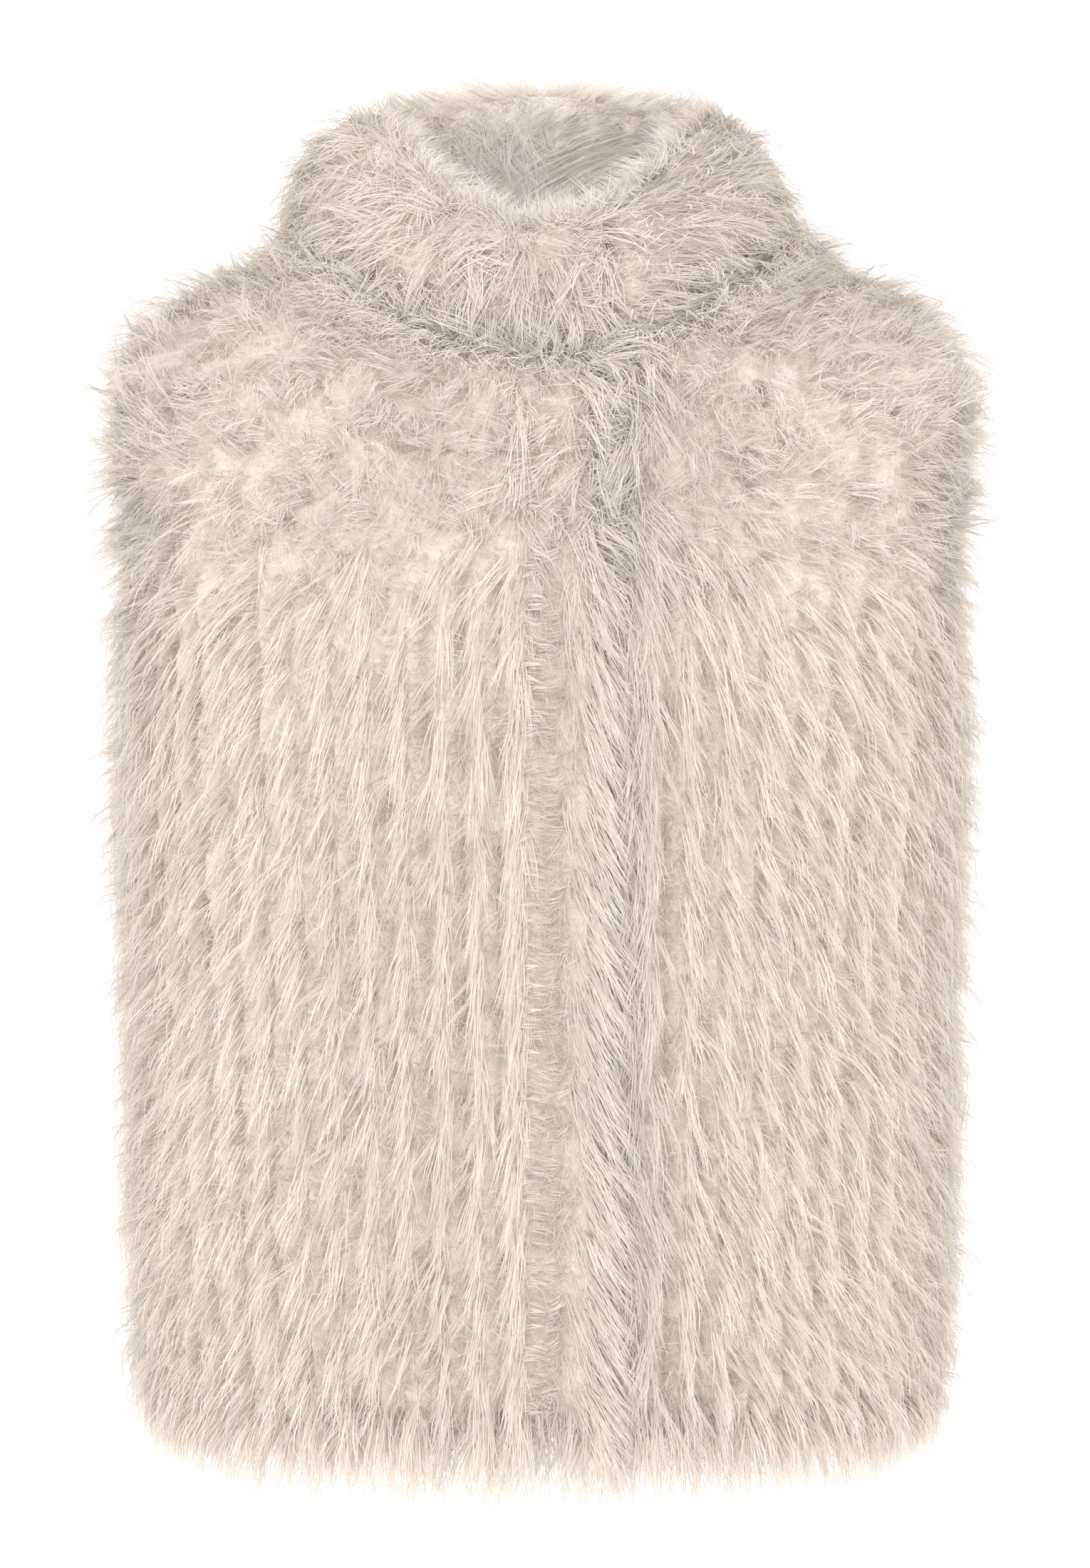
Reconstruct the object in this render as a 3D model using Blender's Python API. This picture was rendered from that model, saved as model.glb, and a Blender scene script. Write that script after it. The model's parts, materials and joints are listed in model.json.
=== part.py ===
# Faux fur vest, hollow as worn: two fronts that overlap at the centre, a back, and a
# stand collar of two layers. Each piece is a closed wall: the plain side is the knitted
# backing, the other side is the pile with its vertical rows of long hair.
# Metres, +Z up, front towards -Y, wearer's left towards +X. The origin lies midway
# between the inner ends of the shoulder seams, where the wearer's shoulders carry it.

import functools
import math
from collections import namedtuple

import bmesh
import bpy
import numpy as np

# Driving sizes
PILE = 0.026  # backing to the top of the pile
COLLAR_PILE = 0.025
INNER_PILE = 0.014  # the collar's inside is flattened by the neck
WALE_WIDTH = 0.0165  # from one upright row of long hair to the next
WALE_RISE = 0.0050  # a wale stands this far above the dip beside it
WALES_END_Z = -0.193  # above this they fade into swirls
WALES_FADE = 0.070
TUFT_RISE = 0.0012
TUFT_LENGTH = 0.048
SWIRL_RISE = 0.0028
SWIRL_LENGTH = 0.052
HEM_DROP = 0.025  # the pile hangs this far below the backing
TOP_STAND = 0.009  # and stands this far above the collar's edge
SEAM_GAP = 0.0004
NECK_GAP = 0.0009  # at the collar's seam, where two differently divided curves meet

# Front opening: the wearer's right front lies over the left one
RIGHT_EDGE_X = 0.032
LEFT_FUR_X = 0.0345
UNDERLAP_THICK = 0.0024
LIFT_OVER_UNDERLAP = 0.0032

# Columns of points next to a front edge, at the same place at every height. `place` is the
# distance past the centre front on the piece's own side, and `rise` a share of a wale's rise.
Column = namedtuple("Column", "place rise")
RIGHT_START = [
    Column(-0.0320, -0.2),
    Column(-0.0270, 0.3),
    Column(-0.0215, 0.7),
    Column(-0.0160, 0.2),
    Column(-0.0105, -0.5),
    Column(-0.0055, -0.4),
    Column(-0.0005, -0.5),
    Column(0.0055, 0.1),
    Column(0.0115, 0.7),
]
LEFT_START = [
    Column(-0.0160, 0.0),
    Column(-0.0078, 0.0),
    Column(0.0004, 0.0),
    Column(0.0086, 0.0),
    Column(0.0168, 0.0),
    Column(0.0250, 0.0),
    Column(0.0330, 0.0),
    Column(0.0345, -0.2),
    Column(0.0493, 0.5),
]

# How full the pile is at a free edge, and over what width it rounds off
Edge = namedtuple("Edge", "thick width")
HEM_EDGE = Edge(0.009, 0.026)
FRONT_EDGE = Edge(0.010, 0.016)
ARMHOLE_EDGE = Edge(0.016, 0.018)
COLLAR_EDGE = Edge(0.008, 0.028)

# Armhole, seen from the side
ARMHOLE_Y = 0.012
ARMHOLE_HALF_WIDTH = 0.054
ARMHOLE_CROWDING = 4  # how near the armhole the wales keep their places

Section = namedtuple(
    "Section",
    "name up side_z front_z back_z half_width side_y front_depth back_depth squareness",
)

# The backing's sections. `up` is the distance along the side and then the shoulder.
BODY = [
    Section("hem", 0.000, -0.579, -0.579, -0.579, 0.174, 0.010, 0.119, 0.114, 2.15),
    Section("hip", 0.090, -0.489, -0.489, -0.489, 0.179, 0.010, 0.122, 0.117, 2.3),
    Section("waist", 0.206, -0.373, -0.373, -0.373, 0.181, 0.010, 0.123, 0.114, 2.3),
    Section("ribs", 0.286, -0.293, -0.293, -0.293, 0.185, 0.010, 0.126, 0.115, 2.35),
    Section("armpit", 0.336, -0.243, -0.243, -0.243, 0.188, 0.010, 0.128, 0.117, 2.45),
    Section("arm low", 0.386, -0.193, -0.204, -0.196, 0.191, 0.010, 0.127, 0.119, 2.6),
    Section("arm mid", 0.436, -0.143, -0.167, -0.150, 0.194, 0.010, 0.122, 0.118, 2.8),
    Section("arm high", 0.486, -0.095, -0.135, -0.108, 0.196, 0.010, 0.115, 0.114, 2.9),
    Section("shoulder tip", 0.525, -0.058, -0.109, -0.071, 0.191, 0.009, 0.106, 0.104, 2.7),
    Section("shoulder out", 0.557, -0.039, -0.092, -0.045, 0.166, 0.007, 0.099, 0.093, 2.4),
    Section("shoulder in", 0.593, -0.024, -0.077, -0.021, 0.136, 0.004, 0.091, 0.083, 2.2),
    Section("neckline", 0.629, 0.000, -0.060, 0.010, 0.106, 0.000, 0.081, 0.073, 2.1),
]
COLLAR = [
    Section("base", 0.000, 0.000, -0.060, 0.010, 0.106, 0.000, 0.081, 0.073, 2.1),
    Section("stand", 0.040, 0.035, -0.026, 0.049, 0.099, 0.000, 0.081, 0.071, 2.1),
    Section("top", 0.080, 0.063, 0.004, 0.089, 0.077, 0.001, 0.073, 0.065, 2.1),
]
ARMPIT_UP = 0.336
TIP_UP = 0.525
NECK_UP = BODY[-1].up
COLLAR_UP = COLLAR[-1].up

Colour = namedtuple("Colour", "red green blue")
CREAM = Colour(0.72, 0.64, 0.56)
SHADED_CREAM = Colour(0.64, 0.56, 0.47)


def eased(x):
    """0 below 0, 1 above 1, smooth between."""
    x = min(max(x, 0.0), 1.0)
    return x * x * (3 - 2 * x)


def smooth_value(knots, values, x):
    """A smooth curve through the values, as a Hermite spline."""
    slopes = np.gradient(values, knots)
    i = int(np.clip(np.searchsorted(knots, x) - 1, 0, len(knots) - 2))
    span = knots[i + 1] - knots[i]
    t = (x - knots[i]) / span
    start = (1 + 2 * t) * (1 - t) ** 2 * values[i] + t * (1 - t) ** 2 * span * slopes[i]
    end = t * t * (3 - 2 * t) * values[i + 1] + t * t * (t - 1) * span * slopes[i + 1]
    return start + end


@functools.lru_cache(maxsize=None)
def ring(surface, up):
    """Half of a section, from the centre front to the centre back, and the distance along it."""
    table = BODY if surface == "body" else COLLAR
    knots = np.array([s.up for s in table])
    sizes = {
        field: smooth_value(knots, np.array([getattr(s, field) for s in table]), up)
        for field in Section._fields[2:]
    }
    angle = np.linspace(0, math.pi, 241)
    sine = np.sin(angle).clip(0)
    cosine = np.abs(np.cos(angle))
    power = 2 / sizes["squareness"]
    front = angle < math.pi / 2
    depth = np.where(front, -sizes["front_depth"], sizes["back_depth"])
    level = np.where(front, sizes["front_z"], sizes["back_z"]) - sizes["side_z"]
    half = np.stack(
        [
            sizes["half_width"] * sine**power,
            sizes["side_y"] + depth * cosine**power,
            sizes["side_z"] + level * cosine**2,
        ],
        axis=1,
    )
    along = np.concatenate([[0], np.cumsum(np.linalg.norm(np.diff(half, axis=0), axis=1))])
    return half, along


def place(surface, up, along_ring):
    """A point of the backing. along_ring runs from the centre front, positive to the wearer's left."""
    half, along = ring(surface, up)
    whole = 2 * along[-1]
    s = (along_ring + whole / 2) % whole - whole / 2
    point = np.array([np.interp(abs(s), along, half[:, k]) for k in range(3)])
    if s < 0:
        point[0] = -point[0]
    return point


def outward(surface, up, along_ring):
    """The unit normal of the backing, away from the wearer."""
    step, top = 0.002, NECK_UP if surface == "body" else COLLAR_UP
    low, high = max(up - step, 0.0), min(up + step, top)
    length = ring(surface, up)[1][-1]
    across = place(surface, up, along_ring + step) - place(surface, up, along_ring - step)
    share = along_ring / length
    rise = place(surface, high, share * ring(surface, high)[1][-1])
    rise = rise - place(surface, low, share * ring(surface, low)[1][-1])
    normal = np.cross(across, rise)
    return normal / np.linalg.norm(normal)


def neck_mitre(share):
    """Where the body's pile and the collar's pile meet, as an offset from the neck seam."""
    body = outward("body", NECK_UP, share * ring("body", NECK_UP)[1][-1])
    collar = outward("collar", 0.0, share * ring("collar", 0.0)[1][-1])
    middle = (body + collar) / np.linalg.norm(body + collar)
    return middle * COLLAR_PILE / max(float(middle @ body), 0.6)


def rounded(distance, edge, full):
    """Pile depth at a distance from a free edge."""
    t = min(max(distance / edge.width, 0.0), 1.0)
    return edge.thick + (full - edge.thick) * math.sqrt(1 - (1 - t) ** 2)


def armhole_half_width(up):
    """Half the armhole's width at a height, 0 outside it. It is an ellipse on the side."""
    t = (2 * up - ARMPIT_UP - TIP_UP) / (TIP_UP - ARMPIT_UP)
    return ARMHOLE_HALF_WIDTH * math.sqrt(1 - t * t) if abs(t) < 1 else 0.0


def from_armhole(up, y):
    """About how far a point of the backing is from the armhole's edge."""
    rise = up - (ARMPIT_UP + TIP_UP) / 2
    scaled = math.hypot((y - ARMHOLE_Y) / ARMHOLE_HALF_WIDTH, 2 * rise / (TIP_UP - ARMPIT_UP))
    return math.hypot(y - ARMHOLE_Y, rise) * (1 - 1 / max(scaled, 1.0))


@functools.lru_cache(maxsize=None)
def side_place(up, towards):
    """Distance along the ring from the centre front to the widest place (0), or to the edge
    there of the front (-1) or back (+1): at the side seam, the armhole or the shoulder seam."""
    half, along = ring("body", up)
    widest = int(half[:, 0].argmax())
    width = armhole_half_width(up)
    if width <= 0 or towards == 0:
        return float(along[widest]) + towards * SEAM_GAP / 2
    return float(np.interp(ARMHOLE_Y + towards * width, half[:, 1], along))


def relief(z, rise, index):
    """Height of the pile's form: wales of long hair below the chest, swirls of it above."""
    wales = 1 - eased((z - WALES_END_Z) / WALES_FADE)
    strand = TUFT_RISE * math.sin(2 * math.pi * z / TUFT_LENGTH + 0.9 * index)
    swirl = math.sin(2 * math.pi * z / SWIRL_LENGTH + math.pi * (index // 2) + 0.3 * index)
    swirl *= SWIRL_RISE * (1 + 0.5 * math.sin(1.9 * index))
    return wales * (WALE_RISE * rise + strand) + (1 - wales) * swirl


def body_heights():
    """The `up` of each row of points: even below the armpit, closer where the armhole turns."""
    low = list(np.linspace(0, ARMPIT_UP, 14))
    turn = np.linspace(0, math.pi, 9)[1:]
    arm = [ARMPIT_UP + (TIP_UP - ARMPIT_UP) * (1 - math.cos(a)) / 2 for a in turn]
    arm[-1] = TIP_UP
    shoulder = list(np.linspace(TIP_UP, NECK_UP, 5)[1:])
    return low + arm + shoulder


def join_wall(name, pile, plain, colour, collection):
    """A closed wall between two grids of points. The plain one has every second column."""
    pile, plain = np.array(pile), np.array(plain)
    rows, columns = pile.shape[:2]
    half = plain.shape[1]
    work = bmesh.new()
    outer = [[work.verts.new(p) for p in row] for row in pile]
    inner = [[work.verts.new(p) for p in row] for row in plain]
    for r in range(rows - 1):
        for grid, count in ((outer, columns), (inner, half)):
            for c in range(count - 1):
                work.faces.new((grid[r][c], grid[r][c + 1], grid[r + 1][c + 1], grid[r + 1][c]))
        for c, k in ((0, 0), (columns - 1, half - 1)):
            work.faces.new((outer[r][c], outer[r + 1][c], inner[r + 1][k], inner[r][k]))
    for r in (0, rows - 1):
        for k in range(half - 1):
            left, middle, right = outer[r][2 * k : 2 * k + 3]
            work.faces.new((left, middle, inner[r][k]))
            work.faces.new((middle, right, inner[r][k + 1]))
            work.faces.new((middle, inner[r][k + 1], inner[r][k]))
    bmesh.ops.recalc_face_normals(work, faces=work.faces)
    mesh = bpy.data.meshes.new(name)
    work.to_mesh(mesh)
    work.free()
    thing = bpy.data.objects.new(name, mesh)
    collection.objects.link(thing)
    thing.data.materials.append(fur_material(name, colour))
    mesh.shade_smooth()
    mesh.set_sharp_from_angle(angle=math.radians(50))
    return thing


def fur_material(name, colour):
    material = bpy.data.materials.new(name)
    material.use_nodes = True
    shader = material.node_tree.nodes["Principled BSDF"]
    shader.inputs["Base Color"].default_value = (*colour, 1.0)
    shader.inputs["Roughness"].default_value = 0.95
    shader.inputs["Metallic"].default_value = 0.0
    return material


def away(surface, up, along_ring):
    """Away from the wearer, but level at the neck, where the next piece starts."""
    normal = outward(surface, up, along_ring)
    if up == (NECK_UP if surface == "body" else 0.0):
        normal[2] = 0.0
        normal /= np.linalg.norm(normal)
    return normal


def body_pile(up, along_ring, depth, lift=0.0):
    """The pile's outer point over a place of the body. At the neck it follows the mitre, and at
    the hem it hangs past the backing."""
    base = place("body", up, along_ring)
    if up == NECK_UP:
        return base + neck_mitre(along_ring / ring("body", up)[1][-1])
    drop = HEM_DROP if up == 0 else 0.0
    return base + outward("body", up, along_ring) * (depth + lift) - np.array([0, 0, drop])


def wale_count(width):
    """How many wales, each with the dip beside it, fit a width at the chest."""
    return round(width / WALE_WIDTH)


def chest_width():
    """From the centre front to the side seam, along the backing at the armpit."""
    half, along = ring("body", ARMPIT_UP)
    return float(along[int(half[:, 0].argmax())])


def make_front(name, side, start, collection):
    """side is +1 on the wearer's left. start holds the columns of points next to the front
    edge. The others are spread evenly from there to the side."""
    last = start[-1].place
    steps = 2 * wale_count(chest_width() - last)
    rises = [c.rise for c in start] + [-0.5 if k % 2 == 0 else 0.5 for k in range(steps)]
    pile, plain = [], []
    for up in body_heights():
        widest = side_place(up, 0)
        yielding = side_place(up, -1) - widest
        places = [c.place for c in start]
        for k in range(steps):
            share = (k + 1) / steps
            places.append(last + (widest - last) * share + yielding * share**ARMHOLE_CROWDING)
        outer, inner = [], []
        for index, (along_ring, rise) in enumerate(zip(places, rises)):
            base = place("body", up, side * along_ring)
            level = away("body", up, side * along_ring)
            depth, lift = front_depth(name, up, along_ring, base)
            if name == "front_left" and along_ring < LEFT_FUR_X - 0.001:
                outer.append(base + level * UNDERLAP_THICK)
            else:
                if index < len(places) - 1:
                    depth += relief(base[2], rise, index) * depth / PILE
                outer.append(body_pile(up, side * along_ring, depth, lift))
            if index % 2 == 0:
                inner.append(base + level * lift)
        pile.append(outer)
        plain.append(inner)
    return join_wall(name, pile, plain, CREAM, collection)


def front_depth(name, up, along_ring, base):
    """(pile depth, how far the backing is lifted) at a place on a front."""
    right = name == "front_right"
    edge_x = -RIGHT_EDGE_X if right else LEFT_FUR_X
    depth = min(
        rounded(up, HEM_EDGE, PILE),
        rounded(along_ring - edge_x, FRONT_EDGE, PILE),
        rounded(from_armhole(up, base[1]), ARMHOLE_EDGE, PILE),
    )
    lift = 0.0
    if right:
        lift = LIFT_OVER_UNDERLAP * (1 - eased((along_ring - 0.020) / 0.022))
    return depth, lift


def make_back(collection):
    """One piece from side seam to side seam, past the centre back."""
    chest_length = ring("body", ARMPIT_UP)[1][-1]
    pairs = wale_count(2 * (chest_length - chest_width()))
    shares = np.linspace(-1, 1, 2 * pairs + 1)
    pile, plain = [], []
    for up in body_heights():
        length = ring("body", up)[1][-1]
        reach = length - side_place(up, 0)
        yielding = side_place(up, 1) - side_place(up, 0)
        outer, inner = [], []
        for index, share in enumerate(shares):
            crowding = math.copysign(abs(share) ** ARMHOLE_CROWDING, share)
            along_ring = length + share * reach - crowding * yielding
            base = place("body", up, along_ring)
            depth = min(
                rounded(up, HEM_EDGE, PILE),
                rounded(from_armhole(up, base[1]), ARMHOLE_EDGE, PILE),
            )
            if abs(share) < 1:
                rise = 0.5 if index % 2 else -0.5
                depth += relief(base[2], rise, index) * depth / PILE
            outer.append(body_pile(up, along_ring, depth))
            if index % 2 == 0:
                inner.append(base)
        pile.append(outer)
        plain.append(inner)
    return join_wall("back", pile, plain, CREAM, collection)


def collar_grid(facing, full):
    """Points of one collar layer. facing is +1 for the outer layer and -1 for the inner one."""
    base_length = 2 * ring("collar", 0.0)[1][-1]
    pairs = round(base_length / WALE_WIDTH)
    shares = np.linspace(0, 1, 2 * pairs + 1)
    heights = [0.0, 0.026, 0.045, 0.061, 0.073, COLLAR_UP]
    pile, plain = [], []
    for up in heights:
        whole = 2 * ring("collar", up)[1][-1]
        first, last = RIGHT_EDGE_X, LEFT_FUR_X - 0.001 - whole
        outer, inner = [], []
        for index, share in enumerate(shares):
            along_ring = first + share * (last - first)
            base = place("collar", up, along_ring) + np.array([0, 0, NECK_GAP])
            normal = outward("collar", up, along_ring)
            from_end = min(first - along_ring, along_ring - last)
            depth = min(
                rounded(COLLAR_UP - up, COLLAR_EDGE, full),
                rounded(from_end, FRONT_EDGE, full),
            )
            if up > 0 and 0 < share < 1:
                depth += relief(base[2], 0.0, index) * depth / full
            if up == 0 and facing > 0:
                outer.append(base + neck_mitre(along_ring / (whole / 2)))
            elif up == 0:
                outer.append(base - away("collar", up, along_ring) * depth)
            else:
                stand = TOP_STAND if up == COLLAR_UP else 0.0
                outer.append(base + facing * normal * depth + np.array([0, 0, stand]))
            if index % 2 == 0:
                inner.append(base + facing * normal * SEAM_GAP / 2)
        pile.append(outer)
        plain.append(inner)
    return pile, plain


def main():
    for thing in list(bpy.data.objects):
        bpy.data.objects.remove(thing)
    vest = bpy.data.collections.new("faux_fur_vest")
    bpy.context.scene.collection.children.link(vest)

    make_front("front_right", -1, RIGHT_START, vest)
    make_front("front_left", 1, LEFT_START, vest)

    make_back(vest)
    join_wall("collar_outer", *collar_grid(1, COLLAR_PILE), CREAM, vest)
    join_wall("collar_inner", *collar_grid(-1, INNER_PILE), SHADED_CREAM, vest)


main()
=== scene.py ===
# Faux fur vest, hollow as worn. Each panel has three layers: the knitted backing, the matted
# underfur on it, and the long pile, which is grown on the flat panel and wrapped on the body.
# Metres, +Z up, front towards -Y, wearer's left towards +X.

import json
import math

import bmesh
import bpy
import numpy as np
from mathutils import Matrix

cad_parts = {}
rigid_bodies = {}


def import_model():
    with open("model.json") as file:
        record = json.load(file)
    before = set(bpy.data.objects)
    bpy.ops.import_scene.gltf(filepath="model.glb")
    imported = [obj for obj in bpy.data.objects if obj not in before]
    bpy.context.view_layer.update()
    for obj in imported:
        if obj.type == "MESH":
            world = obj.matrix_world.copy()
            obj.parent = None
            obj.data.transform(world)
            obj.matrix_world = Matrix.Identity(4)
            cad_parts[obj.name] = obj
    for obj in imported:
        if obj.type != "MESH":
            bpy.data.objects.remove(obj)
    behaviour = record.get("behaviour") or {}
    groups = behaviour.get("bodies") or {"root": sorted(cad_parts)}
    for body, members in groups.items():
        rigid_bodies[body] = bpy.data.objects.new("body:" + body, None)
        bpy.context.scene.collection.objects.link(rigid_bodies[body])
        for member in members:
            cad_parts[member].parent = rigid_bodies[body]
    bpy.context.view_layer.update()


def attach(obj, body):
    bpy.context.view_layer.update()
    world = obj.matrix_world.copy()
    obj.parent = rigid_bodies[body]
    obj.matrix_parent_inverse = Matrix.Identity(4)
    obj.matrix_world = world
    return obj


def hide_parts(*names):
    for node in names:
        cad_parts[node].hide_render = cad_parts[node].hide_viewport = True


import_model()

# Backing form, with the same sections as the part's source. Columns: up (the distance along the
# side and then the shoulder), sideZ, frontZ, backZ, halfWidth, sideY, frontDepth, backDepth,
# squareness
bodySections = [
    (0.000, -0.579, -0.579, -0.579, 0.174, 0.010, 0.119, 0.114, 2.15),
    (0.090, -0.489, -0.489, -0.489, 0.179, 0.010, 0.122, 0.117, 2.3),
    (0.206, -0.373, -0.373, -0.373, 0.181, 0.010, 0.123, 0.114, 2.3),
    (0.286, -0.293, -0.293, -0.293, 0.185, 0.010, 0.126, 0.115, 2.35),
    (0.336, -0.243, -0.243, -0.243, 0.188, 0.010, 0.128, 0.117, 2.45),
    (0.386, -0.193, -0.204, -0.196, 0.191, 0.010, 0.127, 0.119, 2.6),
    (0.436, -0.143, -0.167, -0.150, 0.194, 0.010, 0.122, 0.118, 2.8),
    (0.486, -0.095, -0.135, -0.108, 0.196, 0.010, 0.115, 0.114, 2.9),
    (0.525, -0.058, -0.109, -0.071, 0.191, 0.009, 0.106, 0.104, 2.7),
    (0.557, -0.039, -0.092, -0.045, 0.166, 0.007, 0.099, 0.093, 2.4),
    (0.593, -0.024, -0.077, -0.021, 0.136, 0.004, 0.091, 0.083, 2.2),
    (0.629, 0.000, -0.060, 0.010, 0.106, 0.000, 0.081, 0.073, 2.1),
]
collarSections = [
    (0.000, 0.000, -0.060, 0.010, 0.106, 0.000, 0.081, 0.073, 2.1),
    (0.040, 0.035, -0.026, 0.049, 0.099, 0.000, 0.081, 0.071, 2.1),
    (0.080, 0.063, 0.004, 0.089, 0.077, 0.001, 0.073, 0.065, 2.1),
]

# What the panels share
vest = {
    "pile": 0.026,
    "collarPile": 0.025,
    "innerPile": 0.014,
    "clothThickness": 0.0016,
    "waleWidth": 0.0165,
    "waleRise": 0.0055,
    "waleGain": 1.6,
    "walesEndZ": -0.193,
    "walesFade": 0.070,
    "rippleSize": 0.045,
    "rippleRise": 0.0012,
    "swellSize": 0.055,
    "swellRise": 0.0030,
    "puffSize": 0.017,
    "puffRise": 0.0022,
    "rightEdgeX": 0.032,
    "leftFurX": 0.0345,
    "underlapX": -0.0160,
    "liftOverUnderlap": 0.0032,
    "liftFrom": 0.020,
    "liftFade": 0.022,
    "armholeY": 0.012,
    "armholeHalfWidth": 0.054,
    "armpitUp": 0.336,
    "tipUp": 0.525,
    "crowding": 4,
    "hemEdge": (0.009, 0.026),
    "frontEdge": (0.010, 0.016),
    "armholeEdge": (0.016, 0.018),
    "collarEdge": (0.008, 0.028),
    "density": 1.0,
}
rowStep = 0.0015
columnCount = 480


def eased(x):
    x = np.clip(x, 0.0, 1.0)
    return x * x * (3 - 2 * x)


def unit(vectors):
    return vectors / np.linalg.norm(vectors, axis=-1, keepdims=True)


def smoothValues(knots, values, x):
    slopes = np.gradient(values, knots, axis=0)
    i = np.clip(np.searchsorted(knots, x) - 1, 0, len(knots) - 2)
    span = (knots[i + 1] - knots[i])[:, None]
    t = (x - knots[i])[:, None] / span
    start = (1 + 2 * t) * (1 - t) ** 2 * values[i] + t * (1 - t) ** 2 * span * slopes[i]
    end = t * t * (3 - 2 * t) * values[i + 1] + t * t * (t - 1) * span * slopes[i + 1]
    return start + end


# Smooth noise of about -1 to 1, as a sum of waves in set directions
def softNoise(points, size, seed):
    pick = np.random.default_rng(seed)
    total = 0
    for wave in range(9):
        direction = unit(pick.normal(size=points.shape[-1]))
        stretch = pick.uniform(0.6, 1.7) * 2 * math.pi / size
        total = total + np.sin(points @ direction * stretch + pick.uniform(0, 2 * math.pi))
    return total / 3.2


# A surface of sections as a grid of point, normal, across, upward, stretch of `up` and skew
def makeSurface(sections):
    table = np.array(sections)
    knots = table[:, 0]
    ups = np.linspace(0, knots[-1], round(knots[-1] / rowStep) + 1)
    sizes = smoothValues(knots, table[:, 1:], ups).T[..., None]
    sideZ, frontZ, backZ, halfWidth, sideY, frontDepth, backDepth, squareness = sizes
    angle = np.linspace(0, math.pi, 241)[None]
    sine, cosine = np.sin(angle).clip(0), np.abs(np.cos(angle))
    power = 2 / squareness
    front = angle < math.pi / 2
    depth = np.where(front, -frontDepth, backDepth)
    level = np.where(front, frontZ, backZ) - sideZ
    x = halfWidth * sine**power
    y = sideY + depth * cosine**power
    z = sideZ + level * cosine**2
    half = np.stack([x, y, z], axis=-1)
    steps = np.linalg.norm(np.diff(half, axis=1), axis=2)
    along = np.concatenate([np.zeros((len(ups), 1)), np.cumsum(steps, axis=1)], axis=1)
    length = along[:, -1]
    share = np.linspace(-1, 1, columnCount, endpoint=False)
    grid = np.empty((len(ups), columnCount, 3))
    for r in range(len(ups)):
        for k in range(3):
            grid[r, :, k] = np.interp(abs(share) * length[r], along[r], half[r, :, k])
    grid[:, :, 0] *= np.sign(share)
    across = unit(np.roll(grid, -1, axis=1) - np.roll(grid, 1, axis=1))
    rise = np.gradient(grid, ups, axis=0)
    normal = unit(np.cross(across, rise))
    upward = np.cross(normal, across)
    stretch = (rise * upward).sum(axis=2, keepdims=True)
    skew = (rise * across).sum(axis=2) - share * np.gradient(length, ups)[:, None]
    channels = np.concatenate([grid, normal, across, upward, stretch, skew[..., None]], axis=2)
    widest = along[np.arange(len(ups)), x.argmax(axis=1)]
    return dict(ups=ups, top=ups[-1], length=length, widest=widest, half=half, along=along,
                channels=channels)


def onSurface(surface, up, along):
    ups = surface["ups"]
    up = np.clip(up, 0, surface["top"])
    row = up / (ups[1] - ups[0])
    r = np.clip(row.astype(int), 0, len(ups) - 2)
    rowPart = (row - r)[:, None]
    column = (along / np.interp(up, ups, surface["length"]) + 1) / 2 * columnCount
    c = np.floor(column).astype(int)
    columnPart = (column - c)[:, None]
    left, right = c % columnCount, (c + 1) % columnCount
    grid = surface["channels"]
    low = grid[r, left] * (1 - columnPart) + grid[r, right] * columnPart
    high = grid[r + 1, left] * (1 - columnPart) + grid[r + 1, right] * columnPart
    values = low * (1 - rowPart) + high * rowPart
    return {
        "point": values[:, 0:3],
        "normal": unit(values[:, 3:6]),
        "across": unit(values[:, 6:9]),
        "upward": unit(values[:, 9:12]),
        "stretch": values[:, 12],
        "skew": values[:, 13],
    }


body = makeSurface(bodySections)
collar = makeSurface(collarSections)
armholeUp = (vest["armpitUp"] + vest["tipUp"]) / 2
armholeHalfHeight = (vest["tipUp"] - vest["armpitUp"]) / 2


def armholeWidth(up):
    t = (2 * up - vest["armpitUp"] - vest["tipUp"]) / (vest["tipUp"] - vest["armpitUp"])
    return vest["armholeHalfWidth"] * np.sqrt(np.clip(1 - t * t, 0, None))


# Where the front (-1) and the back (+1) end at the side, and the widest place between them (0)
sideTables = {0: body["widest"]}
for towards in (-1, 1):
    widths = armholeWidth(body["ups"])
    sideTables[towards] = np.array(
        [
            np.interp(vest["armholeY"] + towards * widths[r], body["half"][r, :, 1], body["along"][r])
            if widths[r] > 0
            else body["widest"][r]
            for r in range(len(widths))
        ]
    )


def sidePlace(up, towards):
    return np.interp(up, body["ups"], sideTables[towards])


def fromArmhole(up, y):
    rise = up - armholeUp
    scaled = np.hypot((y - vest["armholeY"]) / vest["armholeHalfWidth"], rise / armholeHalfHeight)
    return np.hypot(y - vest["armholeY"], rise) * (1 - 1 / np.maximum(scaled, 1.0))


def rounded(distance, edge, full):
    thick, width = edge
    t = np.clip(distance / width, 0, 1)
    return thick + (full - thick) * np.sqrt(1 - (1 - t) ** 2)


# Depth of a pile that is rounded off towards each of its edges, which are given by distance
def edgedDepth(full, **distances):
    return np.minimum.reduce([rounded(far, vest[edge], full) for edge, far in distances.items()])


chestWidth = float(sidePlace(vest["armpitUp"], 0))


def noLift(along):
    return along * 0


plainPanel = {
    "surface": body,
    "facing": 1,
    "side": 0,
    "towards": 0,
    "lift": noLift,
    "qScale": 1.0,
}


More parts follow.
